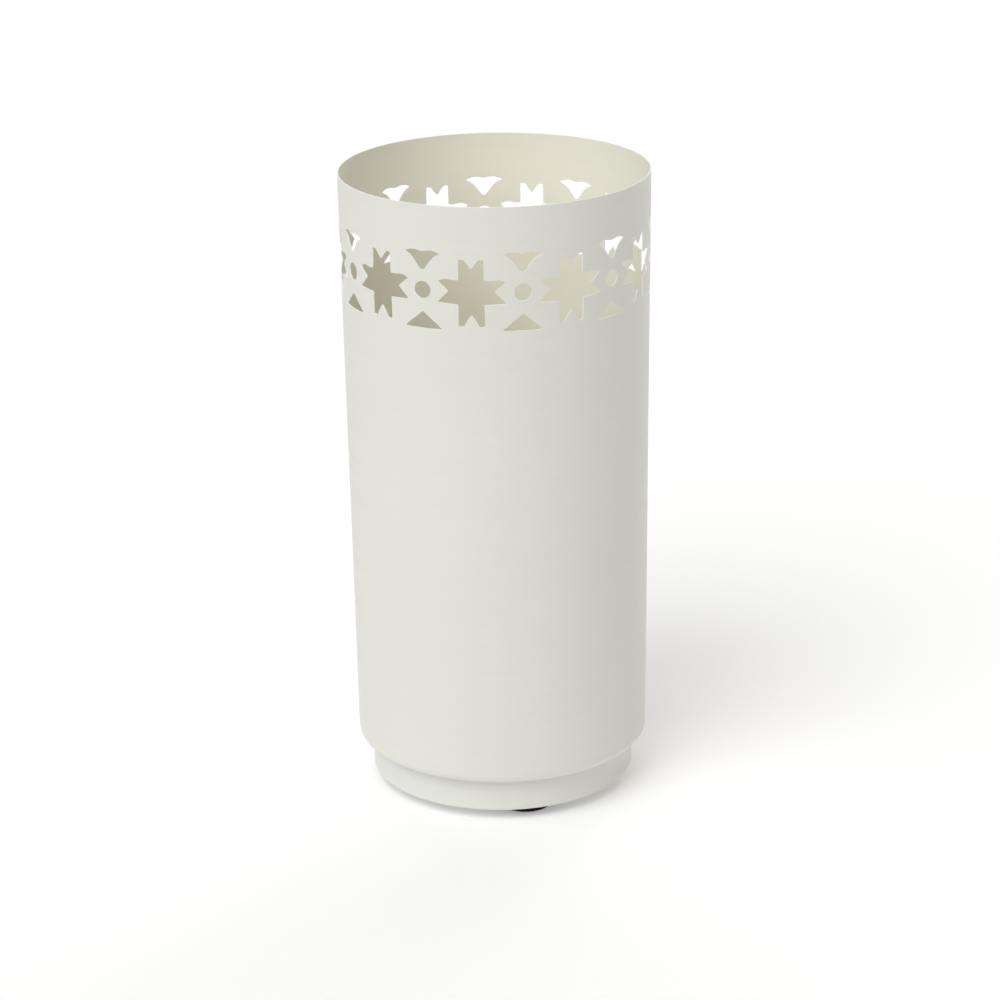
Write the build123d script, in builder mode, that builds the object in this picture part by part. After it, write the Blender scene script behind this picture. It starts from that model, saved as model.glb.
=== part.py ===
"""Round umbrella stand in painted sheet steel, with a pierced band below its rim.

Millimetres, +Z up. The origin is on the floor, on the stand's axis, and the front faces -Y.
Angles round the stand are measured from the front (-Y) towards the right (+X).
"""
from build123d import *
from math import cos, radians, sin
import os

os.makedirs("parts", exist_ok=True)

# ---------------------------------------------------------------- driving dimensions
STAND_H = 500.0            # floor to rim
RIM_R = 120.0              # outer radius at the rim
WALL_TAPER = 0.0091        # radius lost for each millimetre below the rim
SHEET = 1.0                # sheet thickness of shell and pan
RIM_EDGE_R = 0.4           # rounding of the rim's cut edge

SHOULDER_Z = 36.0          # underside of the turned-in ledge
SHOULDER_BEND_R = 8.0      # outer radius of the shoulder
PAN_R = 104.5              # outer radius of the stepped base
PAN_BOTTOM_Z = 8.8         # underside of the pan's floor
PAN_CORNER_R = 2.5
PAN_BEAD_R = 40.0          # stiffening ring pressed in the pan's floor
PAN_FLANGE_W = 3.3
PAN_FLANGE_BEND_R = 0.6    # also the gap that the ledge leaves round the pan's wall

TRAY_SHEET = 0.8
TRAY_R = 102.5
TRAY_FLOOR_Z = 19.0        # underside of the tray's floor, above the foot screws
TRAY_CORNER_R = 4.0
TRAY_RIM_W = 4.0
TRAY_RIM_BEND_R = 1.0
TRAY_SEAT_GAP = 0.1        # paint film between the tray's rim and the pan's flange
TRAY_BEAD_R = 62.0         # stiffening ring pressed in the tray's floor
BEAD_W = 8.0               # half width of both rings, and the radius of their bends
BEAD_H = 1.6

FOOT_COUNT = 4
FOOT_ANGLE = 14.4          # the first foot, from the front towards the right
FOOT_PITCH_R = 70.6
FOOT_BOTTOM_R = 20.0
FOOT_TOP_R = 20.6
FOOT_EDGE_R = 1.0
FOOT_RECESS_R = 7.0
FOOT_RECESS_H = 5.0
SCREW_CLEARANCE_R = 2.7

SCREW_R = 2.45
SCREW_L = 12.0
SCREW_HEAD_R = 4.75
SCREW_HEAD_H = 2.75
SCREW_HEAD_EDGE_R = 1.65
SOCKET_FLATS = 3.0
SOCKET_H = 1.6
WASHER_R = 7.5
WASHER_H = 1.2
NUT_FLATS = 8.0
NUT_H = 4.0
NUT_BORE_R = 2.5

BAND_DROP = 65.0           # rim to the middle of the pierced band, at the front
BAND_SAG = 1.2             # how much lower the band sits at the back than at the front
# The stars' places round the band, a little unevenly spaced. The weld seam runs down the
# narrow gap between the last one and the first.
STAR_ANGLES = (101.6, 64.7, 28.0, -8.8, -45.5, -83.5, -119.8, -157.2, -194.6, -231.9)
CUT_DEPTH = 9.0            # deep enough for one wall over a motif's width
CORNER_SOFTENING = 0.7     # radius left by the cutter in each corner
CIRCLE_R = 6.6
TRIANGLE_REACH = 30.4      # middle of the band to the far edge of a triangle
SEAM_SCALE = 0.43          # size of the small triangles in the narrow gap at the weld seam

# ---------------------------------------------------------------- derived positions
ledge_top_z = SHOULDER_Z + SHEET
pan_flange_top_z = ledge_top_z + SHEET
tray_seat_z = pan_flange_top_z + TRAY_SEAT_GAP
wall_foot_r = RIM_R - WALL_TAPER * (STAND_H - SHOULDER_Z)
band_z = STAND_H - BAND_DROP
pan_floor_top_z = PAN_BOTTOM_Z + SHEET
washer_top_z = pan_floor_top_z + WASHER_H
first_foot_polar = FOOT_ANGLE - 90.0
seam_angle = (STAR_ANGLES[0] + STAR_ANGLES[-1] + 360.0) / 2


def wall_plane(angle):
    """Plane just outside the wall at an angle round the stand; its x runs to the viewer's right."""
    outward = (sin(radians(angle)), -cos(radians(angle)), 0)
    sideways = (cos(radians(angle)), sin(radians(angle)), 0)
    sag = BAND_SAG * (1 - cos(radians(angle))) / 2
    origin = (RIM_R * outward[0], RIM_R * outward[1], band_z - sag)
    return Plane(origin=origin, x_dir=sideways, z_dir=outward)


# ---------------------------------------------------------------- motifs of the pierced band
# Each is drawn about the middle of the band, its right half first and then mirrored.
with BuildSketch() as star:
    with BuildLine():
        Polyline((0, 17.8), (5.6, 25.0), (9.4, 25.2), (9.6, 9.3))
        Spline((9.6, 9.3), (14.3, 9.1), (19.8, 9.8), (25.6, 7.7))
        Polyline((25.6, 7.7), (17.1, 0.5), (26.2, -8.3), (9.8, -9.4), (10.0, -26.0), (6.0, -26.3))
        Spline((6.0, -26.3), (3.2, -21.2), (0, -17.1))
        mirror(about=Plane.YZ)
    make_face()
    fillet(star.vertices(), CORNER_SOFTENING)

with BuildSketch() as winged_triangle:
    with BuildLine():
        Spline((0, 29.2), (8.5, TRIANGLE_REACH), (14.8, 28.2))
        Spline((14.8, 28.2), (9.1, 25.2), (4.5, 19.6), (1.4, 15.6))
        Line((1.4, 15.6), (0, 15.4))
        mirror(about=Plane.YZ)
    make_face()
    fillet(winged_triangle.vertices().filter_by(lambda v: abs(v.X) > 1), CORNER_SOFTENING)

with BuildSketch() as lower_triangle:
    with BuildLine():
        Polyline((0, -16.6), (0.7, -17.0), (15.1, -28.9), (14.7, -29.5), (0, -29.5))
        mirror(about=Plane.YZ)
    make_face()

with BuildSketch() as disc:
    Circle(CIRCLE_R)

# The narrow gap at the weld seam has room only for small copies of the two triangles.
seam_shift = (1 - SEAM_SCALE) * TRIANGLE_REACH
with BuildSketch() as seam_triangles:
    with Locations((0, seam_shift)):
        add(scale(winged_triangle.sketch, by=SEAM_SCALE, mode=Mode.PRIVATE))
    with Locations((0, -seam_shift)):
        add(scale(lower_triangle.sketch, by=SEAM_SCALE, mode=Mode.PRIVATE))

cut_outs = [(angle, star) for angle in STAR_ANGLES]
for angle, next_angle in zip(STAR_ANGLES, STAR_ANGLES[1:]):
    middle = (angle + next_angle) / 2
    cut_outs += [(middle, winged_triangle), (middle, disc), (middle, lower_triangle)]
cut_outs.append((seam_angle, seam_triangles))

# ---------------------------------------------------------------- shell
with BuildPart() as body_shell:
    with BuildSketch(Plane.XZ):
        with BuildLine():
            FilletPolyline(
                (RIM_R, STAND_H),
                (wall_foot_r, SHOULDER_Z),
                (PAN_R + PAN_FLANGE_BEND_R, SHOULDER_Z),
                radius=SHOULDER_BEND_R,
            )
            offset(amount=SHEET, side=Side.RIGHT)
        make_face()
    revolve(axis=Axis.Z)
    rim_edges = body_shell.edges().filter_by(GeomType.CIRCLE).group_by(Axis.Z)[-1]
    fillet(rim_edges, RIM_EDGE_R)
    for angle, motif in cut_outs:
        with BuildSketch(wall_plane(angle)):
            add(motif.sketch)
        extrude(amount=-CUT_DEPTH, clean=False, mode=Mode.SUBTRACT)
body_shell.part.label = "body_shell"
export_step(body_shell.part, "parts/body_shell.step")

# ---------------------------------------------------------------- base pan
with BuildPart() as base_pan:
    with BuildSketch(Plane.XZ):
        with BuildLine():
            FilletPolyline(
                (0, PAN_BOTTOM_Z),
                (PAN_BEAD_R - BEAD_W, PAN_BOTTOM_Z),
                (PAN_BEAD_R, PAN_BOTTOM_Z + BEAD_H),
                (PAN_BEAD_R + BEAD_W, PAN_BOTTOM_Z),
                (PAN_R, PAN_BOTTOM_Z),
                (PAN_R, ledge_top_z),
                (PAN_R + PAN_FLANGE_W, ledge_top_z),
                radius=(BEAD_W, BEAD_W, BEAD_W, PAN_CORNER_R, PAN_FLANGE_BEND_R),
            )
            offset(amount=SHEET, side=Side.LEFT)
        make_face()
    revolve(axis=Axis.Z)
    with BuildSketch(Plane.XY.offset(PAN_BOTTOM_Z)):
        with PolarLocations(FOOT_PITCH_R, FOOT_COUNT, start_angle=first_foot_polar):
            Circle(SCREW_CLEARANCE_R)
    extrude(amount=SHEET, mode=Mode.SUBTRACT)
base_pan.part.label = "base_pan"
export_step(base_pan.part, "parts/base_pan.step")

# ---------------------------------------------------------------- drip tray
with BuildPart() as drip_tray:
    with BuildSketch(Plane.XZ):
        with BuildLine():
            FilletPolyline(
                (0, TRAY_FLOOR_Z),
                (TRAY_BEAD_R - BEAD_W, TRAY_FLOOR_Z),
                (TRAY_BEAD_R, TRAY_FLOOR_Z + BEAD_H),
                (TRAY_BEAD_R + BEAD_W, TRAY_FLOOR_Z),
                (TRAY_R, TRAY_FLOOR_Z),
                (TRAY_R, tray_seat_z),
                (TRAY_R + TRAY_RIM_W, tray_seat_z),
                radius=(BEAD_W, BEAD_W, BEAD_W, TRAY_CORNER_R, TRAY_RIM_BEND_R),
            )
            offset(amount=TRAY_SHEET, side=Side.LEFT)
        make_face()
    revolve(axis=Axis.Z)
drip_tray.part.label = "drip_tray"
export_step(drip_tray.part, "parts/drip_tray.step")

# ---------------------------------------------------------------- rubber feet
for number in range(FOOT_COUNT):
    polar = radians(first_foot_polar + number * 360.0 / FOOT_COUNT)
    foot_axis = Plane(origin=(FOOT_PITCH_R * cos(polar), FOOT_PITCH_R * sin(polar), 0))
    with BuildPart(foot_axis) as foot:
        Cone(FOOT_BOTTOM_R, FOOT_TOP_R, PAN_BOTTOM_Z, align=(Align.CENTER, Align.CENTER, Align.MIN))
        fillet(foot.edges().filter_by(GeomType.CIRCLE).sort_by(Axis.Z)[0], FOOT_EDGE_R)
        with BuildSketch(foot_axis):
            Circle(FOOT_RECESS_R)
        extrude(amount=FOOT_RECESS_H, mode=Mode.SUBTRACT)
        with BuildSketch(foot_axis):
            Circle(SCREW_CLEARANCE_R)
        extrude(amount=PAN_BOTTOM_Z, mode=Mode.SUBTRACT)
    foot.part.label = f"foot_{number + 1}"
    export_step(foot.part, f"parts/foot_{number + 1}.step")

# ---------------------------------------------------------------- foot fasteners
head_z = FOOT_RECESS_H - SCREW_HEAD_H
with BuildPart() as foot_screws:
    with BuildSketch(Plane.XY.offset(head_z)):
        with PolarLocations(FOOT_PITCH_R, FOOT_COUNT, start_angle=first_foot_polar):
            Circle(SCREW_HEAD_R)
    extrude(amount=SCREW_HEAD_H)
    fillet(foot_screws.edges().filter_by(GeomType.CIRCLE).group_by(Axis.Z)[0], SCREW_HEAD_EDGE_R)
    with BuildSketch(Plane.XY.offset(FOOT_RECESS_H)):
        with PolarLocations(FOOT_PITCH_R, FOOT_COUNT, start_angle=first_foot_polar):
            Circle(SCREW_R)
    extrude(amount=SCREW_L)
    with BuildSketch(Plane.XY.offset(head_z)):
        with PolarLocations(FOOT_PITCH_R, FOOT_COUNT, start_angle=first_foot_polar):
            RegularPolygon(SOCKET_FLATS / 2, 6, major_radius=False)
    extrude(amount=SOCKET_H, mode=Mode.SUBTRACT)
foot_screws.part.label = "foot_screws"
export_step(foot_screws.part, "parts/foot_screws.step")

with BuildPart() as foot_washers:
    with BuildSketch(Plane.XY.offset(pan_floor_top_z)):
        with PolarLocations(FOOT_PITCH_R, FOOT_COUNT, start_angle=first_foot_polar):
            Circle(WASHER_R)
            Circle(SCREW_CLEARANCE_R, mode=Mode.SUBTRACT)
    extrude(amount=WASHER_H)
foot_washers.part.label = "foot_washers"
export_step(foot_washers.part, "parts/foot_washers.step")

with BuildPart() as foot_nuts:
    with BuildSketch(Plane.XY.offset(washer_top_z)):
        with PolarLocations(FOOT_PITCH_R, FOOT_COUNT, start_angle=first_foot_polar):
            RegularPolygon(NUT_FLATS / 2, 6, major_radius=False)
            Circle(NUT_BORE_R, mode=Mode.SUBTRACT)
    extrude(amount=NUT_H)
foot_nuts.part.label = "foot_nuts"
export_step(foot_nuts.part, "parts/foot_nuts.step")
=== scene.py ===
"""Looks of a round umbrella stand in painted sheet steel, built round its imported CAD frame.

The shapes are laid out in millimetres, with the frame's origin and axes, and turned into metres
when their meshes are made. Angles round the stand run from the front (-Y) towards the right (+X).
"""

import math
import random
from collections import namedtuple

import bmesh
import bpy
import numpy as np
from mathutils import Matrix, Vector
from mathutils.geometry import delaunay_2d_cdt


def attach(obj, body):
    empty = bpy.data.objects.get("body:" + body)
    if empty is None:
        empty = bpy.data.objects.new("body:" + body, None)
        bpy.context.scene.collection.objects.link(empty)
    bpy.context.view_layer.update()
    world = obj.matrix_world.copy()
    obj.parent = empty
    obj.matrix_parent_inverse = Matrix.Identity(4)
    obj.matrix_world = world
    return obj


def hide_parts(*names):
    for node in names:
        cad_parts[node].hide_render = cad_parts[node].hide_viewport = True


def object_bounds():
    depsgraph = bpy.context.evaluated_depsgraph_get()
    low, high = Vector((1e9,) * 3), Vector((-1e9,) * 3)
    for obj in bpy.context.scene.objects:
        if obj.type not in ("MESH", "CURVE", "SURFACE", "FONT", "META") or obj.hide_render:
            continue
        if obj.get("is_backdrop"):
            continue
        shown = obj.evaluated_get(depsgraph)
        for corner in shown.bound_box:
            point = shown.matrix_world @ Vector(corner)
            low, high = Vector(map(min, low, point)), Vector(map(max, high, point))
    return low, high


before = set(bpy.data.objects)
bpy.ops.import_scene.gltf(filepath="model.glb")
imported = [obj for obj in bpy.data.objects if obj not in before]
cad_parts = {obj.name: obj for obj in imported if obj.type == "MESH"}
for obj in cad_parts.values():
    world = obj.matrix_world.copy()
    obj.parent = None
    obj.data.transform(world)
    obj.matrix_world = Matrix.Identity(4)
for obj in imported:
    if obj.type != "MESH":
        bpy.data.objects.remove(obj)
size_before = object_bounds()

MM = 0.001
TURN = 2 * math.pi

# ---------------------------------------------------------------- dimensions, in mm
STAND_H = 500.0
RIM_R = 120.0
WALL_TAPER = 0.0091        # radius lost for each mm down from the rim
SHEET = 1.0
SHEET_EDGE = 0.25          # rounding of the sheets' hidden edges
RIM_EDGE = 0.4
SHOULDER_Z = 36.0
SHOULDER_BEND_R = 8.0
LEDGE_INNER_R = 105.1
WALL_FOOT_R = RIM_R - WALL_TAPER * (STAND_H - SHOULDER_Z)

PAN_R = 104.5
PAN_BOTTOM_Z = 8.8
PAN_CORNER_R = 2.5
PAN_BEAD_R = 40.0
PAN_FLANGE_W = 3.3
PAN_FLANGE_BEND_R = 0.6
PAN_RIM_Z = 37.0

TRAY_SHEET = 0.8
TRAY_EDGE = 0.2
TRAY_R = 102.5
TRAY_FLOOR_Z = 19.0
TRAY_SEAT_Z = 38.1
TRAY_CORNER_R = 4.0
TRAY_RIM_W = 4.0
TRAY_RIM_BEND_R = 1.0
TRAY_BEAD_R = 62.0
BEAD_W = 8.0               # the stiffening rings pressed in both floors
BEAD_H = 1.6

FOOT_COUNT = 4
FOOT_ANGLE = 14.4          # the first foot, from the front towards the right
FOOT_PITCH_R = 70.6
FOOT_BOTTOM_R = 20.0
FOOT_TOP_R = 20.6
FOOT_TOP_Z = PAN_BOTTOM_Z - 0.01
FOOT_EDGE_R = 0.5
FOOT_RECESS_R = 7.0
FOOT_RECESS_H = 5.0
GROOVE_RADII = (10.2, 15.8)
GROOVE_H = 0.45

SCREW_HOLE_R = 2.7
SCREW_HEAD_R = 4.75
SCREW_HEAD_Z = 2.25
SCREW_HEAD_EDGE_R = 1.65
SOCKET_FLATS = 3.0
SOCKET_TOP_Z = SCREW_HEAD_Z + 1.6
SHANK_R = 2.45
SHANK_TOP_Z = 17.0
THREAD_START_Z = 10.5
THREAD_PITCH = 0.8
THREAD_DEPTH = 0.32
WASHER_R = 7.5
WASHER_BOTTOM_Z = 9.8
WASHER_TOP_Z = 11.0
NUT_FLATS = 8.0
NUT_FACE_R = 3.5           # flat ring left by the chamfers on the nut's ends
NUT_BORE_R = 2.5
NUT_BORE_CHAMFER = 0.4
NUT_TOP_Z = 15.0

BAND_DROP = 65.0           # rim to the middle of the pierced band
BAND_SAG = 1.2             # how much lower the band sits at the back than at the front
STAR_ANGLES = (101.6, 64.7, 28.0, -8.8, -45.5, -83.5, -119.8, -157.2, -194.6, -231.9)
DISC_R = 6.6
TRIANGLE_REACH = 30.4      # middle of the band to the far edge of a triangle
SEAM_SCALE = 0.43          # size of the small triangles at the weld seam
SEAM_ANGLE = math.radians((STAR_ANGLES[0] + STAR_ANGLES[-1] + 360) / 2)
CUT_EDGE = 0.2             # rounding of the paint on the motifs' cut edges
CORNER_SIGMA = 0.55        # how far the cutter and the paint soften the motifs' corners
CUT_WAVER = 0.05           # how far the cutter strays, in waves of these lengths
CUT_WAVELENGTHS = (23.0, 11.0, 6.0)
WALL_WAVE = 0.05           # unevenness of the rolled wall
WAVE_END_T = 440.0         # how far down the wall it has faded out, and over what length
WAVE_FADE = 60.0
WELD_H = 0.1
WELD_HALF_W = 1.6

# How finely the sheets are meshed
SHELL_COLUMNS = 240
SHELL_SPACING = 9.0
PAN_COLUMNS = 200
PAN_SPACING = 6.0
OUTLINE_STEP = 1.7         # longest step along a cut outline
OUTLINE_TURN = 0.27        # and the most it turns in a step, in radians
BAND_HALF_W = 35.0         # the wall's stretch with the motifs, each way from their middle
SHELL_BAND_SPACING = 3.2
PAN_BAND = (62.0, 84.0)    # the pan floor's stretch with the screw holes
PAN_BAND_SPACING = 2.6
PAN_HOLE_POINTS = 28
FOOT_SEGMENTS = 96
WASHER_SEGMENTS = 64
FASTENER_SEGMENTS = 48

# ---------------------------------------------------------------- colours, lights, camera
OFF_WHITE = (0.742, 0.737, 0.678)
# The base pan's paint: a little more neutral in tone, and lighter as painted light that cancels the
# shade under the shell's ledge
PAN_WHITE_AND_PAINTED_LIGHT = (0.745, 0.748, 0.706)
# The inside coat of every sheet: partly a creamier paint, partly lighter as painted light for the
# dim inside of the tube
INNER_CREAM_AND_PAINTED_LIGHT = (0.935, 0.915, 0.808)
# Painted highlight: the cut faces of the motifs and the sheets' edges are painted lighter, as if
# lit
CUT_EDGE_PAINTED_HIGHLIGHT = (0.93, 0.925, 0.9)
CHIPPED = (0.58, 0.565, 0.53)
RUBBER = (0.007, 0.0065, 0.006)
RUBBER_DUST = (0.03, 0.028, 0.025)
ZINC = (0.60, 0.61, 0.62)
ZINC_BLOTCH = (0.47, 0.47, 0.46)
FLOOR_WHITE = (0.94, 0.94, 0.94)
FLOOR_GLOW = 0.16
FLOOR_R = 9.0              # in metres
SKY_STRENGTH = 0.27

# Very wide, even lights: name, azimuth from the front towards the right, elevation, strength,
# softness, colour. Angles are in degrees.
SUNS = (
    ("key_light", -30, 50, 1.25, 40, (0.98, 0.99, 1.0)),
    ("left_light", -55, 42, 0.60, 60, (0.90, 0.95, 1.0)),
    ("front_light", 8, 42, 0.25, 50, (1.0, 0.86, 0.64)),
    ("back_light", 180, 25, 0.80, 60, (1.0, 0.985, 0.97)),
    ("right_back_light", 150, 15, 0.72, 40, (1.0, 0.965, 0.89)),
)

# The photo's camera, in metres and degrees
CAMERA_PLACE = (0, -2.37931, 1.08248)
CAMERA_YAW = 0.01542
CAMERA_PITCH_DOWN = 19.697
CAMERA_ROLL = -0.86955
CAMERA_LENS = 114.83
CAMERA_FILM = 36


# ---------------------------------------------------------------- outlines of the cut-outs
def curve(points, count=24):
    """Points along the natural cubic spline through the given ones."""
    p = np.array(points, float)
    u = np.r_[0, np.cumsum(np.hypot(*np.diff(p, axis=0).T))]
    h = np.diff(u)
    a = np.eye(len(p))
    b = np.zeros((len(p), 2))
    for i in range(1, len(p) - 1):
        a[i, i - 1 : i + 2] = h[i - 1], 2 * (h[i - 1] + h[i]), h[i]
        b[i] = 6 * ((p[i + 1] - p[i]) / h[i] - (p[i] - p[i - 1]) / h[i - 1])
    m = np.linalg.solve(a, b)
    v = np.linspace(0, u[-1], count)
    i = np.clip(np.searchsorted(u, v, side="right") - 1, 0, len(h) - 1)
    left = ((u[i + 1] - v) / h[i])[:, None]
    right = 1 - left
    bend = (left**3 - left) * m[i] + (right**3 - right) * m[i + 1]
    return [tuple(q) for q in left * p[i] + right * p[i + 1] + bend * (h[i] ** 2 / 6)[:, None]]


def mirrored(half):
    """A closed anticlockwise outline from its right half, which runs from top to bottom."""
    left = [(-x, y) for x, y in half if x > 1e-6]
    return np.array(left + half[::-1])


STAR = mirrored(
    [(0, 17.8), (5.6, 25.0), (9.4, 25.2), (9.6, 9.3)]
    + curve([(9.6, 9.3), (14.3, 9.1), (19.8, 9.8), (25.6, 7.7)])[1:]
    + [(17.1, 0.5), (26.2, -8.3), (9.8, -9.4), (10.0, -26.0), (6.0, -26.3)]
    + curve([(6.0, -26.3), (3.2, -21.2), (0, -17.1)])[1:]
)
WINGED_TRIANGLE = mirrored(
    curve([(0, 29.2), (8.5, TRIANGLE_REACH), (14.8, 28.2)])
    + curve([(14.8, 28.2), (9.1, 25.2), (4.5, 19.6), (1.4, 15.6)])[1:]
    + [(0, 15.4)]
)
LOWER_TRIANGLE = mirrored([(0, -16.6), (0.7, -17.0), (15.1, -28.9), (14.7, -29.5), (0, -29.5)])
DISC = np.array([(DISC_R * math.cos(a), DISC_R * math.sin(a)) for a in np.arange(0, TURN, 0.05)])


def cut_outline(shape, rng):
    """A closed outline as it is really cut: corners softened, edges a little unsteady.
    Returns its points, closer together where it turns, and the directions into the hole."""
    step = 0.05
    loop = np.vstack([shape, shape[:1]])
    reach = np.r_[0, np.cumsum(np.hypot(*np.diff(loop, axis=0).T))]
    count = int(reach[-1] / step)
    at = np.arange(count) * reach[-1] / count
    dense = np.interp(at, reach, loop[:, 0]) + 1j * np.interp(at, reach, loop[:, 1])
    cycles = np.fft.fftfreq(count, reach[-1] / count)
    dense = np.fft.ifft(np.fft.fft(dense) * np.exp(-2 * (math.pi * cycles * CORNER_SIGMA) ** 2))
    heading = np.roll(dense, -1) - np.roll(dense, 1)
    inward = 1j * heading / np.abs(heading)
    lap = TURN * np.arange(count) / count
    for wavelength in CUT_WAVELENGTHS:
        waves = max(2, round(reach[-1] / wavelength))
        sway = CUT_WAVER * rng.uniform(0.4, 1)
        dense = dense + inward * sway * np.sin(waves * lap + rng.uniform(0, TURN))
    heading = np.roll(dense, -1) - dense
    turning = np.abs(np.angle(np.roll(heading, -1) / heading))
    cost = np.r_[0, np.cumsum(np.abs(heading) / OUTLINE_STEP + turning / OUTLINE_TURN)]
    number = max(12, math.ceil(cost[-1]))
    index = np.interp(np.arange(number) * cost[-1] / number, cost, np.arange(count + 1))
    low = index.astype(int) % count
    share = index - index.astype(int)
    points = dense[low] * (1 - share) + dense[(low + 1) % count] * share
    heading = np.roll(dense, -3) - np.roll(dense, 3)
    inward = 1j * heading / np.abs(heading)
    return points, inward[low]


# ---------------------------------------------------------------- folded sheets of revolution
class Skin:
    """The outer face of a sheet bent to a profile and turned about the stand's axis. t runs along
    the profile. side is 1 if the face looks left of the way the profile runs, else -1."""

    def __init__(self, points, radii, side, ripple=None, steps=8):
        rows = []
        points = [np.array(p, float) for p in points]
        at = points[0]
        t = 0.0
        for i, radius in enumerate(list(radii) + [0]):
            corner = points[i + 1]
            way = (corner - at) / np.linalg.norm(corner - at)
            left = np.array((-way[1], way[0]))
            rows.append((t, *at, *(side * left)))
            if i == len(radii):
                rows.append((t + np.linalg.norm(corner - at), *corner, *(side * left)))
                break
            onward = points[i + 2] - corner
            turn = math.atan2(way[0] * onward[1] - way[1] * onward[0], way @ onward)
            start = corner - way * radius * math.tan(abs(turn) / 2)
            centre = start + left * math.copysign(radius, turn)
            t += np.linalg.norm(start - at)
            for k in range(steps + 1):
                c, s = math.cos(turn * k / steps), math.sin(turn * k / steps)
                spin = np.array(((c, -s), (s, c)))
                at = centre + spin @ (start - centre)
                rows.append((t + radius * abs(turn) * k / steps, *at, *(side * spin @ left)))
            t = rows.pop()[0]
        self.rows = np.array(rows)
        self.side = side
        self.ripple = ripple or (lambda theta, t: 0 * theta)
        self.length = self.rows[-1, 0]

    def levels(self, low, high, spacing):
        """Places along the profile from low to high, with every bend's and none further apart."""
        ends = [low] + [t for t in self.rows[:, 0] if low + 0.05 < t < high - 0.05] + [high]
        found = []
        for a, b in zip(ends, ends[1:]):
            found += list(np.linspace(a, b, max(1, math.ceil((b - a) / spacing)) + 1)[:-1])
        return found + [high]

    def lay(self, theta, t, depth, out, along, down):
        """Points at a depth under the face, and their normals from parts out, along and down it."""
        r, z, nr, nz = (np.interp(t, self.rows[:, 0], self.rows[:, i]) for i in (1, 2, 3, 4))
        sin, cos, flat = np.sin(theta), np.cos(theta), 0 * theta
        face = np.stack((nr * sin, -nr * cos, nz), 1)
        sideways = np.stack((cos, sin, flat), 1)
        onward = self.side * np.stack((nz * sin, -nz * cos, -nr), 1)
        lift = self.ripple(theta, t)
        nudge = 1e-3
        lean = self.ripple(theta + nudge, t) - self.ripple(theta - nudge, t)
        lean = lean / (2 * nudge * np.maximum(r, 5))
        tilt = self.ripple(theta, t + 0.5) - self.ripple(theta, t - 0.5)
        points = np.stack((r * sin, -r * cos, z), 1) + face * (lift - depth)[:, None]
        face = face - sideways * lean[:, None] - onward * tilt[:, None]
        normals = face * out[:, None] + sideways * along[:, None] + onward * down[:, None]
        return points, normals / np.linalg.norm(normals, axis=1)[:, None]


class Vertices:
    """Vertices of a sheet: place on the skin, depth, parts of the normal, and the cut-edge mask."""

    def __init__(self):
        self.fields = [[] for _ in range(7)]
        self.count = 0

    def add(self, theta, *values):
        theta = np.atleast_1d(np.asarray(theta, float))
        for field, value in zip(self.fields, (theta,) + values):
            field.append(np.broadcast_to(np.asarray(value, float), theta.shape))
        first = self.count
        self.count += len(theta)
        return np.arange(first, self.count)


def edge_rings(end, inward, thick, e, steps=3):
    """Rings (t, depth, out, down) from the outer face round a free cut edge to the inner face."""
    rings = []
    for k in range(1, steps + 1):
        a = math.pi / 2 * k / steps
        t = end + inward * e * (1 - math.sin(a))
        rings.append((t, e * (1 - math.cos(a)), math.cos(a), -inward * math.sin(a)))
    for k in range(steps):
        a = math.pi / 2 * k / steps
        t = end + inward * e * (1 - math.cos(a))
        rings.append((t, thick - e * (1 - math.sin(a)), -math.sin(a), -inward * math.cos(a)))
    return rings


def strip(one, two):
    """Faces between two rings of vertices. A ring of one vertex is a point on the axis."""
    if len(one) == len(two) == 1:
        return []
    count = max(len(one), len(two))
    faces = []
    for k in range(count):
        n = (k + 1) % count
        if len(one) == 1:
            faces.append((one[0], two[k], two[n]))
        elif len(two) == 1:
            faces.append((one[k], one[n], two[0]))
        else:
            faces.append((one[k], one[n], two[n], two[k]))
    return faces


def inside(loop, x, y):
    """Which of the points lie in a closed loop of complex numbers."""
    hit = np.zeros(len(x), bool)
    for p, q in zip(loop, np.roll(loop, -1)):
        cross = (p.imag > y) != (q.imag > y)
        if cross.any():
            level = (y - p.imag) / (q.imag - p.imag)
            hit ^= cross & (x < p.real + level * (q.real - p.real))
    return hit


# A pierced stretch of a sheet, from low to high along the profile. Each hole is its outline's
# angles and t, and the directions into it. slit is a list of (angle past the first column, t)
# where no hole lies. scale is the radius that turns angles into lengths.
Band = namedtuple("Band", "low high holes slit scale spacing")


def hole_edge(vertices, hole, thick, scale):
    """Faces round the rounded cut edge of a hole, the vertices where they meet the outer and the
    inner face of the sheet, and the angles and t of both."""
    theta, t, into_s, into_t = hole
    e = CUT_EDGE
    quarter = math.sqrt(0.5)

    def ring(away, depth, out, into, mask):
        place = (theta - into_s * away / scale, t - into_t * away)
        return vertices.add(*place, depth, out, into * into_s, into * into_t, mask)

    rings = [
        ring(e, 0, 1, 0, 0),
        ring(e * (1 - quarter), e * (1 - quarter), quarter, quarter, 1),
        ring(0, e, 0, 1, 1),
        ring(0, thick - e, 0, 1, 1),
        ring(e * (1 - quarter), thick - e * (1 - quarter), -quarter, quarter, 1),
        ring(e, thick, -1, 0, 0),
    ]
    faces = []
    for one, two in zip(rings, rings[1:]):
        faces += strip(one, two)
    return faces, rings[0], rings[-1], theta - into_s * e / scale, t - into_t * e


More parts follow.
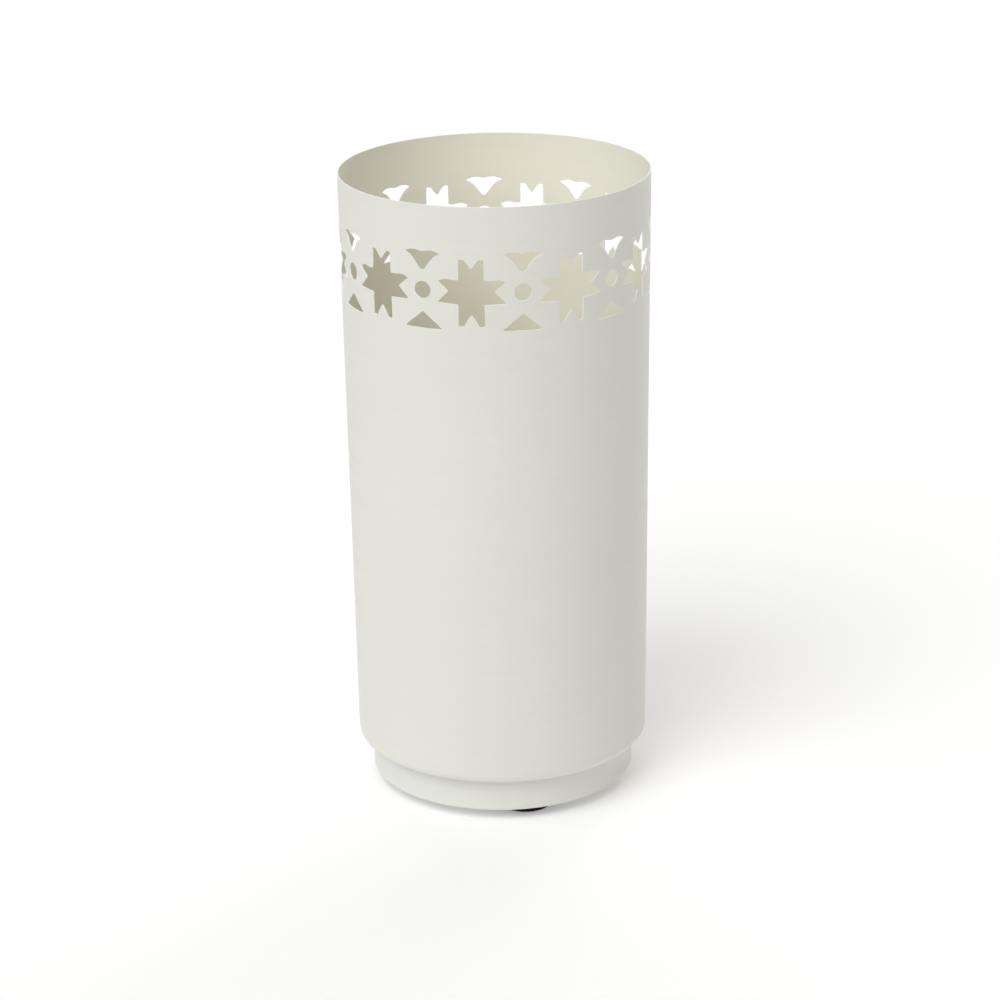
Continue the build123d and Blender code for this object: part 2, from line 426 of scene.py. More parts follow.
def free_points(band, columns, slit_at, loops):
    """Angles and t of staggered rows of points in a band, clear of its slit and its holes."""
    rows = max(2, round((band.high - band.low) / band.spacing))
    levels = np.linspace(band.low, band.high, rows + 1)[1:-1]
    half_gaps = (np.roll(columns, -1) - columns) % TURN / 2
    theta = np.concatenate([columns + half_gaps * (k % 2) for k in range(len(levels))])
    t = np.repeat(levels, len(columns))
    start = slit_at(t)
    theta = start + (theta - start) % TURN
    margin = band.spacing * 0.4 / band.scale
    keep = (theta > start + margin) & (theta < start + TURN - margin)
    for loop in loops:
        for lap in (-TURN * band.scale, 0, TURN * band.scale):
            x = theta * band.scale + lap
            near = (x > loop.real.min() - 2) & (x < loop.real.max() + 2)
            near &= (t > loop.imag.min() - 2) & (t < loop.imag.max() + 2)
            chosen = np.flatnonzero(near & keep)
            if len(chosen):
                where = x[chosen] + 1j * t[chosen]
                gap = np.abs(where[:, None] - loop[None, :]).min(axis=1)
                keep[chosen] &= (gap > band.spacing * 0.35) & ~inside(loop, x[chosen], t[chosen])
    return theta[keep], t[keep]


def pierced(vertices, columns, rings, thick, band):
    """Faces of a band of the sheet between two rings, with its holes cut through and their edges
    rounded. rings are the outer low and high rings' vertices, then the inner ones'. The band is
    cut open along its slit, laid flat and triangulated."""
    count = len(columns)
    closing = columns[0] + TURN
    points = [(c, band.low) for c in columns] + [(closing, band.low)]
    points += [(c, band.high) for c in columns] + [(closing, band.high)]
    outer = list(rings[0]) + [rings[0][0]] + list(rings[1]) + [rings[1][0]]
    inner = list(rings[2]) + [rings[2][0]] + list(rings[3]) + [rings[3][0]]
    edges = [(i, i + 1) for i in range(count)]
    edges += [(count + 1 + i, count + 2 + i) for i in range(count)]
    left = [0]
    right = [count]
    for offset, t in band.slit:
        theta = columns[0] + offset
        outer += [vertices.add(theta, t, 0, 1, 0, 0, 0)[0]] * 2
        inner += [vertices.add(theta, t, thick, -1, 0, 0, 0)[0]] * 2
        left.append(len(points))
        right.append(len(points) + 1)
        points += [(theta, t), (theta + TURN, t)]
    left.append(count + 1)
    right.append(2 * count + 1)
    edges += list(zip(left, left[1:])) + list(zip(right, right[1:]))

    slit_t = [band.low] + [t for _, t in band.slit] + [band.high]
    slit_theta = columns[0] + np.array([0] + [offset for offset, _ in band.slit] + [0])

    def slit_at(t):
        return np.interp(t, slit_t, slit_theta)

    loops = []
    faces = []
    for hole in band.holes:
        more, outer_ring, inner_ring, theta, t = hole_edge(vertices, hole, thick, band.scale)
        first = len(points)
        number = len(theta)
        faces += more
        points += list(zip(theta, t))
        outer += list(outer_ring)
        inner += list(inner_ring)
        edges += [(first + i, first + (i + 1) % number) for i in range(number)]
        loops.append(theta * band.scale + 1j * t)

    theta, t = free_points(band, columns, slit_at, loops)
    outer += list(vertices.add(theta, t, 0, 1, 0, 0, 0))
    inner += list(vertices.add(theta, t, thick, -1, 0, 0, 0))
    points += list(zip(theta, t))

    flat = [Vector((theta * band.scale, t)) for theta, t in points]
    found, _, triangles, origin, _, _ = delaunay_2d_cdt(flat, edges, [], 0, 1e-5, True)
    if len(found) != len(flat):
        raise RuntimeError(f"the band's outlines touch: {len(flat)} points became {len(found)}")
    origin = np.array([o[0] for o in origin])
    triangles = origin[np.array(triangles)]
    x, t = np.array(flat)[triangles].mean(axis=1).T
    past_slit = x / band.scale - slit_at(t)
    keep = (past_slit > 0) & (past_slit < TURN)
    for loop in loops:
        near = (x > loop.real.min()) & (x < loop.real.max())
        chosen = np.flatnonzero(near & keep)
        keep[chosen] &= ~inside(loop, x[chosen], t[chosen])
    triangles = triangles[keep]
    faces += [tuple(f) for f in np.array(outer)[triangles]]
    faces += [tuple(f) for f in np.array(inner)[triangles]]
    return faces


def make_object(name, points, faces, normals=None, masks=None, sharp=None):
    """A mesh object from points in mm, its faces turned outwards. masks are values at its points,
    by name. Edges sharper than sharp, in degrees, stay so."""
    mesh = bpy.data.meshes.new(name)
    places = [tuple(p) for p in np.asarray(points) * MM]
    mesh.from_pydata(places, [], [[int(v) for v in f] for f in faces])
    solid = bmesh.new()
    solid.from_mesh(mesh)
    bmesh.ops.recalc_face_normals(solid, faces=solid.faces)
    solid.to_mesh(mesh)
    solid.free()
    mesh.shade_smooth()
    for mask, values in (masks or {}).items():
        attribute = mesh.attributes.new(mask, "FLOAT", "POINT")
        attribute.data.foreach_set("value", np.asarray(values, np.float32))
    if normals is not None:
        mesh.normals_split_custom_set_from_vertices([tuple(n) for n in normals])
    thing = bpy.data.objects.new(name, mesh)
    bpy.context.scene.collection.objects.link(thing)
    if sharp is not None:
        mesh.set_sharp_from_angle(angle=math.radians(sharp))
        thing.modifiers.new("flat faces stay flat", "WEIGHTED_NORMAL").keep_sharp = True
    return thing


def sheet_object(name, skin, thick, columns, spacing, edge, band=None, near_edge=None):
    """A folded sheet as a closed mesh, with a free cut edge at its end and that edge's rounding.
    It starts at the axis, or at another cut edge where near_edge is that one's rounding."""
    vertices = Vertices()
    start = near_edge or 0.0
    stop = skin.length - edge
    if band:
        levels = skin.levels(start, band.low, spacing) + skin.levels(band.high, stop, spacing)
    else:
        levels = skin.levels(start, stop, spacing)
    far_edge = edge_rings(skin.length, -1, thick, edge)
    walk = [(t, 0.0, 1.0, 0.0) for t in levels] + far_edge
    walk += [(t, thick, -1.0, 0.0) for t in reversed(levels)]
    if near_edge:
        walk += reversed(edge_rings(0.0, 1, thick, near_edge))
    rings = []
    for k, (t, depth, out, down) in enumerate(walk):
        if not near_edge and k in (0, len(walk) - 1):
            rings.append(vertices.add(0.0, t, depth, out, 0, down, 0))
        else:
            on_edge = 1.0 if abs(down) > 1e-6 else 0.0
            rings.append(vertices.add(columns, t, depth, out, 0, down, on_edge))
    pairs = list(zip(rings, rings[1:]))
    if near_edge:
        pairs.append((rings[-1], rings[0]))
    gaps = ()
    if band:
        gap = levels.index(band.low)
        gaps = (gap, 2 * len(levels) + len(far_edge) - 2 - gap)
    faces = []
    for k, (one, two) in enumerate(pairs):
        if k not in gaps:
            faces += strip(one, two)
    if band:
        (low, high), (inner_high, inner_low) = (pairs[k] for k in gaps)
        faces += pierced(vertices, columns, (low, high, inner_low, inner_high), thick, band)
    theta, t, depth, out, along, down, mask = (np.concatenate(f) for f in vertices.fields)
    points, normals = skin.lay(theta, t, depth, out, along, down)
    masks = {"cut_edge": mask, "inner_face": depth / thick}
    return make_object(name, points, faces, normals, masks)


def ripples(seed, amount, waves, length):
    """Faint unevenness of a rolled sheet: a few long waves round and along it."""
    rng = random.Random(seed)
    terms = []
    for m in waves:
        k = rng.uniform(-1, 1) * TURN / length
        phase = rng.uniform(0, TURN)
        terms.append((m, k, phase, amount * rng.uniform(0.4, 1)))
    return lambda theta, t: sum(a * np.cos(m * theta + k * t + p) for m, k, p, a in terms)


# ---------------------------------------------------------------- shell
slope = math.hypot(1, WALL_TAPER)
band_middle = BAND_DROP * slope
band_r = RIM_R - WALL_TAPER * BAND_DROP
wall_wave = ripples(seed=3, amount=WALL_WAVE, waves=(2, 3, 5, 8, 11), length=300)


def shell_ripple(theta, t):
    """The rolled wall's unevenness and the ground weld bead, fading out above the shoulder."""
    fade = np.clip((WAVE_END_T - t) / WAVE_FADE, 0, 1)
    past_seam = (theta - SEAM_ANGLE + math.pi) % TURN - math.pi
    weld = WELD_H * np.exp(-((past_seam * RIM_R / WELD_HALF_W) ** 2))
    weld = weld * (1 + 0.3 * np.sin(t / 7) * np.sin(t / 19))
    return (wall_wave(theta, t) + weld) * fade


shell_skin = Skin(
    [(RIM_R, STAND_H), (WALL_FOOT_R, SHOULDER_Z), (LEDGE_INNER_R, SHOULDER_Z)],
    [SHOULDER_BEND_R],
    1,
    shell_ripple,
)
slit_start = math.radians(STAR_ANGLES[0] - 10)
columns = slit_start + np.arange(SHELL_COLUMNS) * TURN / SHELL_COLUMNS
# The columns are closer together over the weld
seam_columns = SEAM_ANGLE + np.array((-3.2, -1.9, -1.1, -0.5, 0, 0.5, 1.1, 1.9, 3.2)) / RIM_R
from_seam = np.abs((columns - SEAM_ANGLE + math.pi) % TURN - math.pi) * RIM_R
columns = np.sort(np.r_[columns[from_seam > 4.0], seam_columns])

rng = random.Random(11)
motifs = [(angle, STAR, 0, 1) for angle in STAR_ANGLES]
for angle, next_angle in zip(STAR_ANGLES, STAR_ANGLES[1:]):
    for shape in (WINGED_TRIANGLE, DISC, LOWER_TRIANGLE):
        motifs.append(((angle + next_angle) / 2, shape, 0, 1))
seam_shift = (1 - SEAM_SCALE) * TRIANGLE_REACH
motifs.append((math.degrees(SEAM_ANGLE), WINGED_TRIANGLE, seam_shift, SEAM_SCALE))
motifs.append((math.degrees(SEAM_ANGLE), LOWER_TRIANGLE, -seam_shift, SEAM_SCALE))
shell_holes = []
for angle, shape, shift, size in motifs:
    points, into = cut_outline(shape * size + np.array((0, shift)), rng)
    centre = slit_start + (math.radians(angle) - slit_start) % TURN
    theta = centre + np.arcsin(points.real / band_r)
    sag = BAND_SAG * (1 - math.cos(centre)) / 2
    shell_holes.append((theta, band_middle + sag - points.imag * slope, into.real, -into.imag))
# The band's slit runs down between the first star and the disc beside it, and stays clear of
# the star's ray.
aside = -3.6 * math.radians(1)
slit = [(0, band_middle - 25)]
slit += [(aside, band_middle + t) for t in (-15, -5, 5, 15)]
slit += [(0, band_middle + 25)]
shell_band = Band(
    band_middle - BAND_HALF_W,
    band_middle + BAND_HALF_W,
    shell_holes,
    slit,
    band_r,
    SHELL_BAND_SPACING,
)
body_shell = sheet_object(
    "body_shell_painted",
    shell_skin,
    SHEET,
    columns,
    SHELL_SPACING,
    SHEET_EDGE,
    shell_band,
    RIM_EDGE,
)

# ---------------------------------------------------------------- base pan
pan_skin = Skin(
    [
        (0, PAN_BOTTOM_Z),
        (PAN_BEAD_R - BEAD_W, PAN_BOTTOM_Z),
        (PAN_BEAD_R, PAN_BOTTOM_Z + BEAD_H),
        (PAN_BEAD_R + BEAD_W, PAN_BOTTOM_Z),
        (PAN_R, PAN_BOTTOM_Z),
        (PAN_R, PAN_RIM_Z),
        (PAN_R + PAN_FLANGE_W, PAN_RIM_Z),
    ],
    [BEAD_W, BEAD_W, BEAD_W, PAN_CORNER_R, PAN_FLANGE_BEND_R],
    -1,
)
# Out on the flat floor, t is longer than the radius by what the pressed ring takes up
on_floor = pan_skin.rows[np.abs(pan_skin.rows[:, 2] - PAN_BOTTOM_Z) < 0.01]
beside_band = on_floor[np.argmin(np.abs(on_floor[:, 1] - 50))]
t_less_r = beside_band[0] - beside_band[1]
pan_columns = np.arange(PAN_COLUMNS) * TURN / PAN_COLUMNS
foot_thetas = [math.radians(FOOT_ANGLE) - i * TURN / FOOT_COUNT for i in range(FOOT_COUNT)]
pan_holes = []
for foot_theta in foot_thetas:
    local = np.exp(1j * np.arange(PAN_HOLE_POINTS) * TURN / PAN_HOLE_POINTS)
    place = FOOT_PITCH_R + SCREW_HOLE_R * local
    theta = foot_theta % TURN + np.angle(place)
    pan_holes.append((theta, np.abs(place) + t_less_r, -local.imag, -local.real))
pan_band = Band(
    PAN_BAND[0] + t_less_r,
    PAN_BAND[1] + t_less_r,
    pan_holes,
    [(0, r + t_less_r) for r in (66, 73, 80)],
    FOOT_PITCH_R,
    PAN_BAND_SPACING,
)
base_pan = sheet_object(
    "base_pan_painted", pan_skin, SHEET, pan_columns, PAN_SPACING, SHEET_EDGE, pan_band
)

# ---------------------------------------------------------------- drip tray
tray_skin = Skin(
    [
        (0, TRAY_FLOOR_Z),
        (TRAY_BEAD_R - BEAD_W, TRAY_FLOOR_Z),
        (TRAY_BEAD_R, TRAY_FLOOR_Z + BEAD_H),
        (TRAY_BEAD_R + BEAD_W, TRAY_FLOOR_Z),
        (TRAY_R, TRAY_FLOOR_Z),
        (TRAY_R, TRAY_SEAT_Z),
        (TRAY_R + TRAY_RIM_W, TRAY_SEAT_Z),
    ],
    [BEAD_W, BEAD_W, BEAD_W, TRAY_CORNER_R, TRAY_RIM_BEND_R],
    -1,
)
drip_tray = sheet_object(
    "drip_tray_painted", tray_skin, TRAY_SHEET, pan_columns, PAN_SPACING, TRAY_EDGE
)


# ---------------------------------------------------------------- turned and hexagonal parts
def rounded_profile(points, radii, steps=4):
    """Points (r, z) of a closed profile with its corners rounded."""
    out = []
    for i, radius in enumerate(radii):
        p = np.array(points[i], float)
        a = np.array(points[i - 1], float) - p
        b = np.array(points[(i + 1) % len(points)], float) - p
        if radius == 0:
            out.append(tuple(p))
            continue
        a, b = a / np.linalg.norm(a), b / np.linalg.norm(b)
        half = math.acos(np.clip(a @ b, -1, 1)) / 2
        reach = radius / math.tan(half)
        centre = p + (a + b) / np.linalg.norm(a + b) * radius / math.sin(half)
        first, last = p + a * reach - centre, p + b * reach - centre
        for k in range(steps + 1):
            mix = first * (1 - k / steps) + last * k / steps
            out.append(tuple(centre + mix / np.linalg.norm(mix) * radius))
    return out


def turned(profile, segments, radius_at=None):
    """Vertices and faces of a closed profile turned about its own axis. A profile point on the
    axis becomes one vertex. radius_at(r, z, angle) may shape a ring."""
    rings = []
    points = []
    for r, z in profile:
        if r < 1e-6:
            rings.append([len(points)])
            points.append((0, 0, z))
            continue
        rings.append(list(range(len(points), len(points) + segments)))
        for k in range(segments):
            a = TURN * k / segments
            radius = radius_at(r, z, a) if radius_at else r
            points.append((radius * math.cos(a), radius * math.sin(a), z))
    faces = []
    for one, two in zip(rings, rings[1:] + rings[:1]):
        faces += strip(one, two)
    return np.array(points), faces


def at_feet(points, faces, spins):
    """Copies of a small part on every foot's axis, each turned a little differently."""
    all_points = []
    all_faces = []
    for foot_theta, spin in zip(foot_thetas, spins):
        c, s = math.cos(spin), math.sin(spin)
        moved = points @ np.array(((c, s, 0), (-s, c, 0), (0, 0, 1)))
        moved = moved + foot_axis(foot_theta)
        all_faces += [tuple(v + len(all_points) * len(points) for v in f) for f in faces]
        all_points.append(moved)
    return np.concatenate(all_points), all_faces


def hexagon(flats, angle):
    """Distance from a hexagon's middle to its outline."""
    return flats / 2 / math.cos((angle + math.pi / 6) % (math.pi / 3) - math.pi / 6)


def foot_axis(theta):
    """Where a foot's axis meets the floor."""
    return np.array((math.sin(theta), -math.cos(theta), 0)) * FOOT_PITCH_R


# Each corner's radius, height and rounding
foot_corners = [(FOOT_RECESS_R, 0, 0.4)]
for middle in GROOVE_RADII:
    for away, height in ((-0.6, 0), (-0.3, GROOVE_H), (0.3, GROOVE_H), (0.6, 0)):
        foot_corners.append((middle + away, height, 0.15))
foot_corners += [
    (FOOT_BOTTOM_R, 0, FOOT_EDGE_R),
    (FOOT_TOP_R, FOOT_TOP_Z, 0.35),
    (SCREW_HOLE_R, FOOT_TOP_Z, 0.2),
    (SCREW_HOLE_R, FOOT_RECESS_H, 0.2),
    (FOOT_RECESS_R, FOOT_RECESS_H, 0.5),
]
foot_profile = rounded_profile([c[:2] for c in foot_corners], [c[2] for c in foot_corners])
foot_points, foot_faces = turned(foot_profile, FOOT_SEGMENTS)
feet = []
# The nodes are numbered towards the right, and foot_thetas runs towards the left
for number, foot_theta in enumerate(foot_thetas[:1] + foot_thetas[:0:-1], 1):
    points = foot_points + foot_axis(foot_theta)
    feet.append(make_object(f"foot_{number}_rubber", points, foot_faces, sharp=40))

washer_profile = rounded_profile(
    [
        (SCREW_HOLE_R, WASHER_BOTTOM_Z),
        (WASHER_R, WASHER_BOTTOM_Z),
        (WASHER_R, WASHER_TOP_Z),
        (SCREW_HOLE_R, WASHER_TOP_Z),
    ],
    [0.1, 0.3, 0.3, 0.15],
)
no_spins = [0] * FOOT_COUNT
washer = turned(washer_profile, WASHER_SEGMENTS)
washers = make_object("foot_washers_zinc", *at_feet(*washer, no_spins), sharp=40)

spin_rng = random.Random(5)
nut_spins = [spin_rng.uniform(0, 1) for _ in range(FOOT_COUNT)]
screw_spins = [spin_rng.uniform(0, 1) for _ in range(FOOT_COUNT)]


def nut_radius(r, z, angle):
    """The nut's hexagon, its corners taken off by the chamfers at both ends."""
    if r <= NUT_FACE_R:
        return r
    chamfer = NUT_FLATS / 2 + 0.05 + min(z - WASHER_TOP_Z, NUT_TOP_Z - z) * 1.73
    return min(hexagon(NUT_FLATS, angle) - 0.04, chamfer)


nut_h = NUT_TOP_Z - WASHER_TOP_Z
bore_mouth_r = NUT_BORE_R + NUT_BORE_CHAMFER
nut_profile = [(bore_mouth_r, WASHER_TOP_Z), (NUT_FACE_R, WASHER_TOP_Z)]
for share in (0.0, 0.06, 0.12, 0.2, 0.8, 0.88, 0.94, 1.0):
    nut_profile.append((NUT_FLATS / 2, WASHER_TOP_Z + nut_h * share))
nut_profile += [
    (NUT_FACE_R, NUT_TOP_Z),
    (bore_mouth_r, NUT_TOP_Z),
    (NUT_BORE_R, NUT_TOP_Z - NUT_BORE_CHAMFER),
    (NUT_BORE_R, WASHER_TOP_Z + NUT_BORE_CHAMFER),
]
nut = turned(nut_profile, FASTENER_SEGMENTS, nut_radius)
nuts = make_object("foot_nuts_zinc", *at_feet(*nut, nut_spins), sharp=25)


def screw_radius(r, z, angle):
    """Round, but for the hexagonal socket and the thread."""
    if z < SOCKET_TOP_Z + 0.01 and abs(r - SOCKET_FLATS / 2) < 0.2:
        return hexagon(SOCKET_FLATS, angle) + r - SOCKET_FLATS / 2
    if z > THREAD_START_Z and r > SHANK_R - 0.01:
        phase = (z / THREAD_PITCH - angle / TURN) % 1
        run_in = min(1, (z - THREAD_START_Z) / 0.6)
        return r - THREAD_DEPTH * min(1, abs(phase - 0.5) * 2.6) * run_in
    return r


socket_r = SOCKET_FLATS / 2
screw_profile = [
    (0, SOCKET_TOP_Z + 0.5),
    (socket_r - 0.2, SOCKET_TOP_Z),
    (socket_r, SOCKET_TOP_Z - 0.1),
    (socket_r, SCREW_HEAD_Z + 0.15),
    (socket_r + 0.15, SCREW_HEAD_Z),
]
for a in np.linspace(0, math.pi / 2, 7):
    r = SCREW_HEAD_R - SCREW_HEAD_EDGE_R * (1 - math.sin(a))
    screw_profile.append((r, SCREW_HEAD_Z + SCREW_HEAD_EDGE_R * (1 - math.cos(a))))
screw_profile += [(SCREW_HEAD_R, FOOT_RECESS_H - 0.1), (SCREW_HEAD_R - 0.1, FOOT_RECESS_H)]
screw_profile.append((SHANK_R, FOOT_RECESS_H))
for z in np.arange(THREAD_START_Z - 0.1, SHANK_TOP_Z - 0.35, THREAD_PITCH / 8):
    screw_profile.append((SHANK_R, z))
screw_profile += [(2.1, SHANK_TOP_Z - 0.05), (1.9, SHANK_TOP_Z), (0, SHANK_TOP_Z)]
screw = turned(screw_profile, FASTENER_SEGMENTS, screw_radius)
screws = make_object("foot_screws_zinc", *at_feet(*screw, screw_spins), sharp=35)


# ---------------------------------------------------------------- materials
class Nodes:
    """A material's nodes, joined as they are made."""

    def __init__(self, name):
        self.material = bpy.data.materials.new(name)
        self.material.use_nodes = True
        self.tree = self.material.node_tree
        self.tree.nodes.clear()
        self.x = 0

    def new(self, kind, inputs=(), **settings):
        node = self.tree.nodes.new(kind)
        node.location = (self.x, 0)
        self.x += 180
        for key, value in settings.items():
            setattr(node, key, value)
        for socket, value in dict(inputs).items():
            if isinstance(value, bpy.types.NodeSocket):
                self.tree.links.new(value, node.inputs[socket])
            else:
                node.inputs[socket].default_value = value
        return node

    def noise(self, vector, scale, detail=2.0, roughness=0.5):
        inputs = {"Vector": vector, "Scale": scale, "Detail": detail, "Roughness": roughness}
        return self.new("ShaderNodeTexNoise", inputs).outputs["Fac"]

    def spread(self, value, low, high, to_low, to_high):
        """The value's range from low to high, laid over another one and clamped to it."""
        inputs = {"Value": value, "From Min": low, "From Max": high}
        inputs.update({"To Min": to_low, "To Max": to_high})
        return self.new("ShaderNodeMapRange", inputs).outputs["Result"]

    def math(self, operation, a, b):
        return self.new("ShaderNodeMath", {0: a, 1: b}, operation=operation).outputs[0]

    def mix(self, share, a, b):
        """One colour turning into another as the share goes from 0 to 1."""
        node = self.new("ShaderNodeMix", {0: share, 6: a, 7: b}, data_type="RGBA")
        return node.outputs[2]

    def bump(self, height, distance, normal=None):
        inputs = {"Height": height, "Distance": distance, "Strength": 1.0}
        if normal:
            inputs["Normal"] = normal
        return self.new("ShaderNodeBump", inputs).outputs["Normal"]

    def surface(self, base, roughness, normal=None, **others):
        """Ends the material in a Principled shader. Its other sockets' values come by name, with
        underscores for spaces."""
        inputs = {"Base Color": base, "Roughness": roughness}
        if normal:
            inputs["Normal"] = normal
        shader = self.new("ShaderNodeBsdfPrincipled", inputs)
        for socket, value in others.items():
            shader.inputs[socket.replace("_", " ")].default_value = value
        self.new("ShaderNodeOutputMaterial", {"Surface": shader.outputs[0]})
        return self.material


def opaque(colour, gain=1.0):
    """A colour for a socket, made darker or lighter."""
    return tuple(c * gain for c in colour) + (1,)


def paint(name, colour, inner_colour_and_painted_light, shift):
    """Satin powder coat: fine orange peel, faint rolling lines under it, a painted highlight and
    small
    chips on the cut edges, and a little uneven ageing. The inside has a lighter, creamier coat:
    partly the paint's own tone, partly painted light for the dim inside of the tube. shift
    moves the patterns, so that no two pieces have the same."""
    n = Nodes(name)
    place = n.new("ShaderNodeTexCoord").outputs["Object"]
    shifted = {"Vector": place, "Location": (shift, shift * 0.7, 0)}
    place = n.new("ShaderNodeMapping", shifted).outputs[0]
    drawn = n.new("ShaderNodeMapping", {"Vector": place, "Scale": (1, 1, 26)}).outputs[0]
    clouds = n.noise(place, scale=7, detail=4, roughness=0.55)
    streaks = n.noise(drawn, scale=11, detail=5, roughness=0.6)
    peel = n.noise(place, scale=620, detail=3)
    grain = n.noise(place, scale=2600)
    speckle = n.noise(place, scale=1500, detail=1)
    edge = n.new("ShaderNodeAttribute", attribute_name="cut_edge").outputs["Fac"]
    inner = n.new("ShaderNodeAttribute", attribute_name="inner_face").outputs["Fac"]

    tint = n.spread(clouds, 0.3, 0.7, 0.0, 1.0)
    lines = n.spread(streaks, 0.42, 0.72, 0.0, 0.22)
    dust = n.spread(speckle, 0.70, 0.78, 0.0, 0.35)
    coats = []
    for coat in (colour, inner_colour_and_painted_light):
        aged = opaque(c * k for c, k in zip(coat, (0.985, 0.982, 0.972)))
        shade = n.mix(tint, aged, opaque(coat, 1.012))
        shade = n.mix(lines, shade, opaque(coat, 0.93))
        coats.append(n.mix(dust, shade, opaque(coat, 0.85)))
    # The inner faces take the lighter, creamier coat: partly its own tone, partly painted light
    base = n.mix(inner, *coats)
    # Painted highlight on the cut edges: they are painted lighter, as if catching the light
    base = n.mix(n.math("MULTIPLY", edge, 0.9), base, opaque(CUT_EDGE_PAINTED_HIGHLIGHT))
    chips = n.spread(n.noise(place, scale=420, detail=4, roughness=0.6), 0.68, 0.72, 0.0, 1.0)
    base = n.mix(n.math("MULTIPLY", chips, edge), base, opaque(CHIPPED))

    roughness = n.spread(clouds, 0.3, 0.7, 0.36, 0.44)
    roughness = n.math("ADD", roughness, n.spread(streaks, 0.35, 0.75, -0.02, 0.05))
    bump = n.bump(clouds, 0.0004)
    bump = n.bump(streaks, 0.000014, bump)
    bump = n.bump(peel, 0.000012, bump)
    bump = n.bump(grain, 0.000003, bump)
    return n.surface(base, roughness, bump, IOR=1.5)


def rubber(name):
    """Moulded black rubber, with fine grain and dust rubbed in near the floor."""
    n = Nodes(name)
    place = n.new("ShaderNodeTexCoord").outputs["Object"]
    height = n.new("ShaderNodeSeparateXYZ", {0: place}).outputs[2]
    patches = n.noise(place, scale=60, detail=5, roughness=0.65)
    grain = n.noise(place, scale=1800, detail=3, roughness=0.6)
    near_floor = n.spread(height, 0.0, 0.004, 1.0, 0.15)
    dust = n.math("MULTIPLY", n.spread(patches, 0.45, 0.7, 0.0, 0.5), near_floor)
    base = n.mix(dust, opaque(RUBBER), opaque(RUBBER_DUST))
    roughness = n.spread(patches, 0.3, 0.7, 0.58, 0.76)
    bump = n.bump(patches, 0.00008)
    bump = n.bump(grain, 0.000012, bump)
    return n.surface(base, roughness, bump, Specular_IOR_Level=0.25)


def zinc(name):
    """Bright zinc plating, a little blotchy, with fine turning marks."""
    n = Nodes(name)
    place = n.new("ShaderNodeTexCoord").outputs["Object"]
    squeezed = n.new("ShaderNodeMapping", {"Vector": place, "Scale": (1, 1, 12)}).outputs[0]
    blotches = n.noise(place, scale=300, detail=5, roughness=0.6)
    marks = n.noise(squeezed, scale=900)
    base = n.mix(n.spread(blotches, 0.35, 0.7, 0, 1), opaque(ZINC), opaque(ZINC_BLOTCH))
    roughness = n.spread(blotches, 0.3, 0.7, 0.24, 0.42)
    return n.surface(base, roughness, n.bump(marks, 0.00001), Metallic=1.0)


shell_paint = paint("shell_paint", OFF_WHITE, INNER_CREAM_AND_PAINTED_LIGHT, 0.0)
# The pan's outer coat is lighter: painted light against the shade under the ledge
pan_paint = paint("pan_paint", PAN_WHITE_AND_PAINTED_LIGHT, INNER_CREAM_AND_PAINTED_LIGHT, 3.1)
tray_paint = paint("tray_paint", OFF_WHITE, INNER_CREAM_AND_PAINTED_LIGHT, 5.7)
foot_rubber = rubber("foot_rubber")
zinc_steel = zinc("zinc_steel")

pieces = [
    (body_shell, "stand", "shell_paint", shell_paint, "body_shell"),
    (base_pan, "stand", "pan_paint", pan_paint, "base_pan"),
    (drip_tray, "tray", "tray_paint", tray_paint, "drip_tray"),
    (washers, "stand", "zinc_steel", zinc_steel, "foot_washers"),
    (nuts, "stand", "zinc_steel", zinc_steel, "foot_nuts"),
    (screws, "stand", "zinc_steel", zinc_steel, "foot_screws"),
]
for number, foot in enumerate(feet, 1):
    pieces.append((foot, "stand", "foot_rubber", foot_rubber, f"foot_{number}"))
for piece, body, slot, material, node in pieces:
    piece.data.materials.append(material)
    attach(piece, body)
    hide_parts(node)

# ---------------------------------------------------------------- studio
scene = bpy.context.scene
scene.view_settings.view_transform = "Standard"

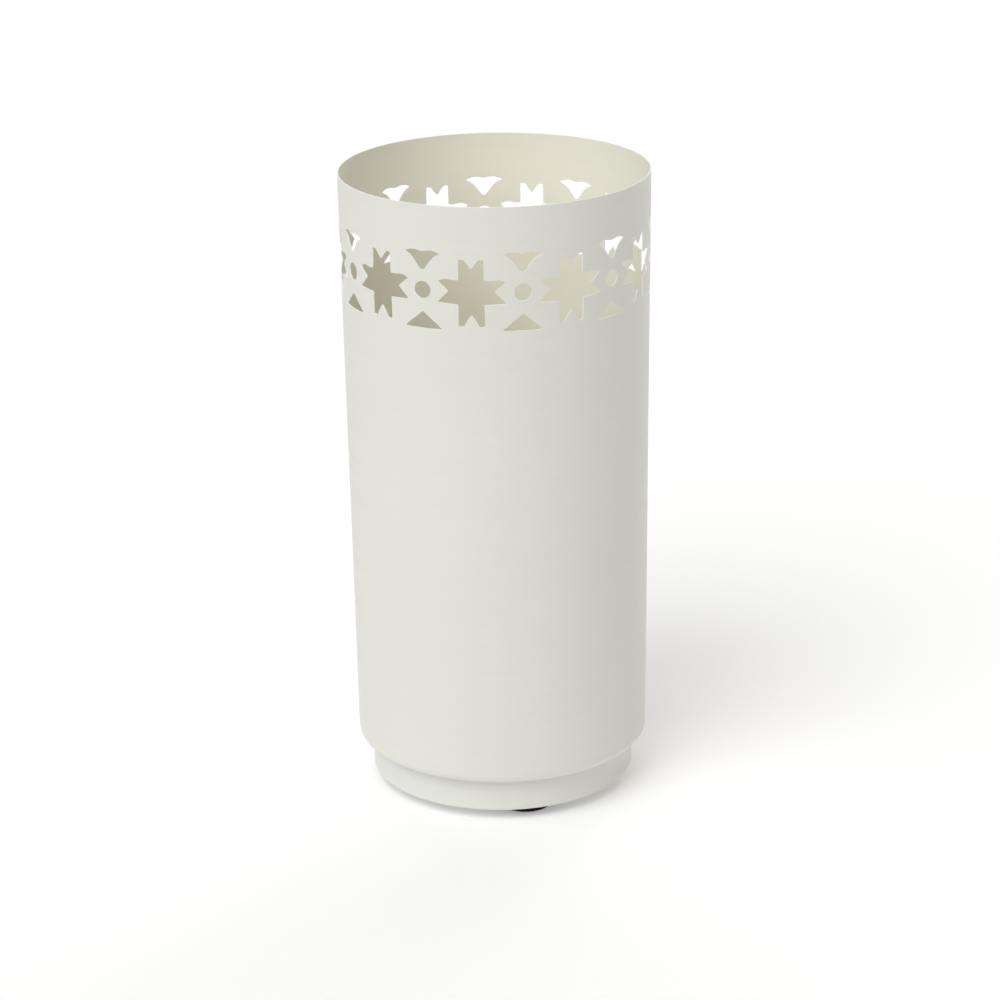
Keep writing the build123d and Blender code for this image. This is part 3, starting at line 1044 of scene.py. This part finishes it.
bpy.ops.mesh.primitive_circle_add(
    vertices=128, radius=FLOOR_R, fill_type="NGON", location=(0, 0, 0)
)
floor = bpy.context.object
floor.name = "studio_floor"
floor_paint = Nodes("studio_floor_paint").surface(
    opaque(FLOOR_WHITE), 0.9, Emission_Color=(1, 1, 1, 1), Emission_Strength=FLOOR_GLOW
)
floor.data.materials.append(floor_paint)
floor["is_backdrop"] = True

world = bpy.data.worlds.new("studio")
scene.world = world
world.use_nodes = True
sky = world.node_tree.nodes["Background"]
sky.inputs["Color"].default_value = (1, 1, 1, 1)
sky.inputs["Strength"].default_value = SKY_STRENGTH

for name, azimuth, elevation, strength, softness, colour in SUNS:
    light = bpy.data.lights.new(name, "SUN")
    light.energy = strength
    light.angle = math.radians(softness)
    light.color = colour
    thing = bpy.data.objects.new(name, light)
    a, e = math.radians(azimuth), math.radians(elevation)
    way = Vector((math.sin(a) * math.cos(e), -math.cos(a) * math.cos(e), math.sin(e)))
    thing.rotation_euler = way.to_track_quat("Z", "Y").to_euler()
    scene.collection.objects.link(thing)

# ---------------------------------------------------------------- camera
camera_data = bpy.data.cameras.new("camera")
camera_data.lens = CAMERA_LENS
camera_data.sensor_width = CAMERA_FILM
camera = bpy.data.objects.new("camera", camera_data)
yaw = math.radians(CAMERA_YAW)
pitch = math.radians(CAMERA_PITCH_DOWN)
roll = math.radians(CAMERA_ROLL)
level = math.cos(pitch)
ahead = Vector((math.sin(yaw) * level, math.cos(yaw) * level, -math.sin(pitch)))
right = Vector((math.cos(yaw), -math.sin(yaw), 0))
above = right.cross(ahead)
rolled_right = right * math.cos(roll) + above * math.sin(roll)
rolled_above = above * math.cos(roll) - right * math.sin(roll)
rotation = Matrix((rolled_right, rolled_above, -ahead)).transposed().to_4x4()
camera.matrix_world = Matrix.Translation(CAMERA_PLACE) @ rotation
scene.collection.objects.link(camera)
scene.camera = camera


def plain(value):
    """Plain lists and numbers from vectors, tuples and dictionaries."""
    if isinstance(value, dict):
        return {str(k): plain(v) for k, v in value.items()}
    if isinstance(value, (int, float, str)) or value is None:
        return value
    return [plain(v) for v in value]


{"cad": plain(size_before), "visual": plain(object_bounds())}
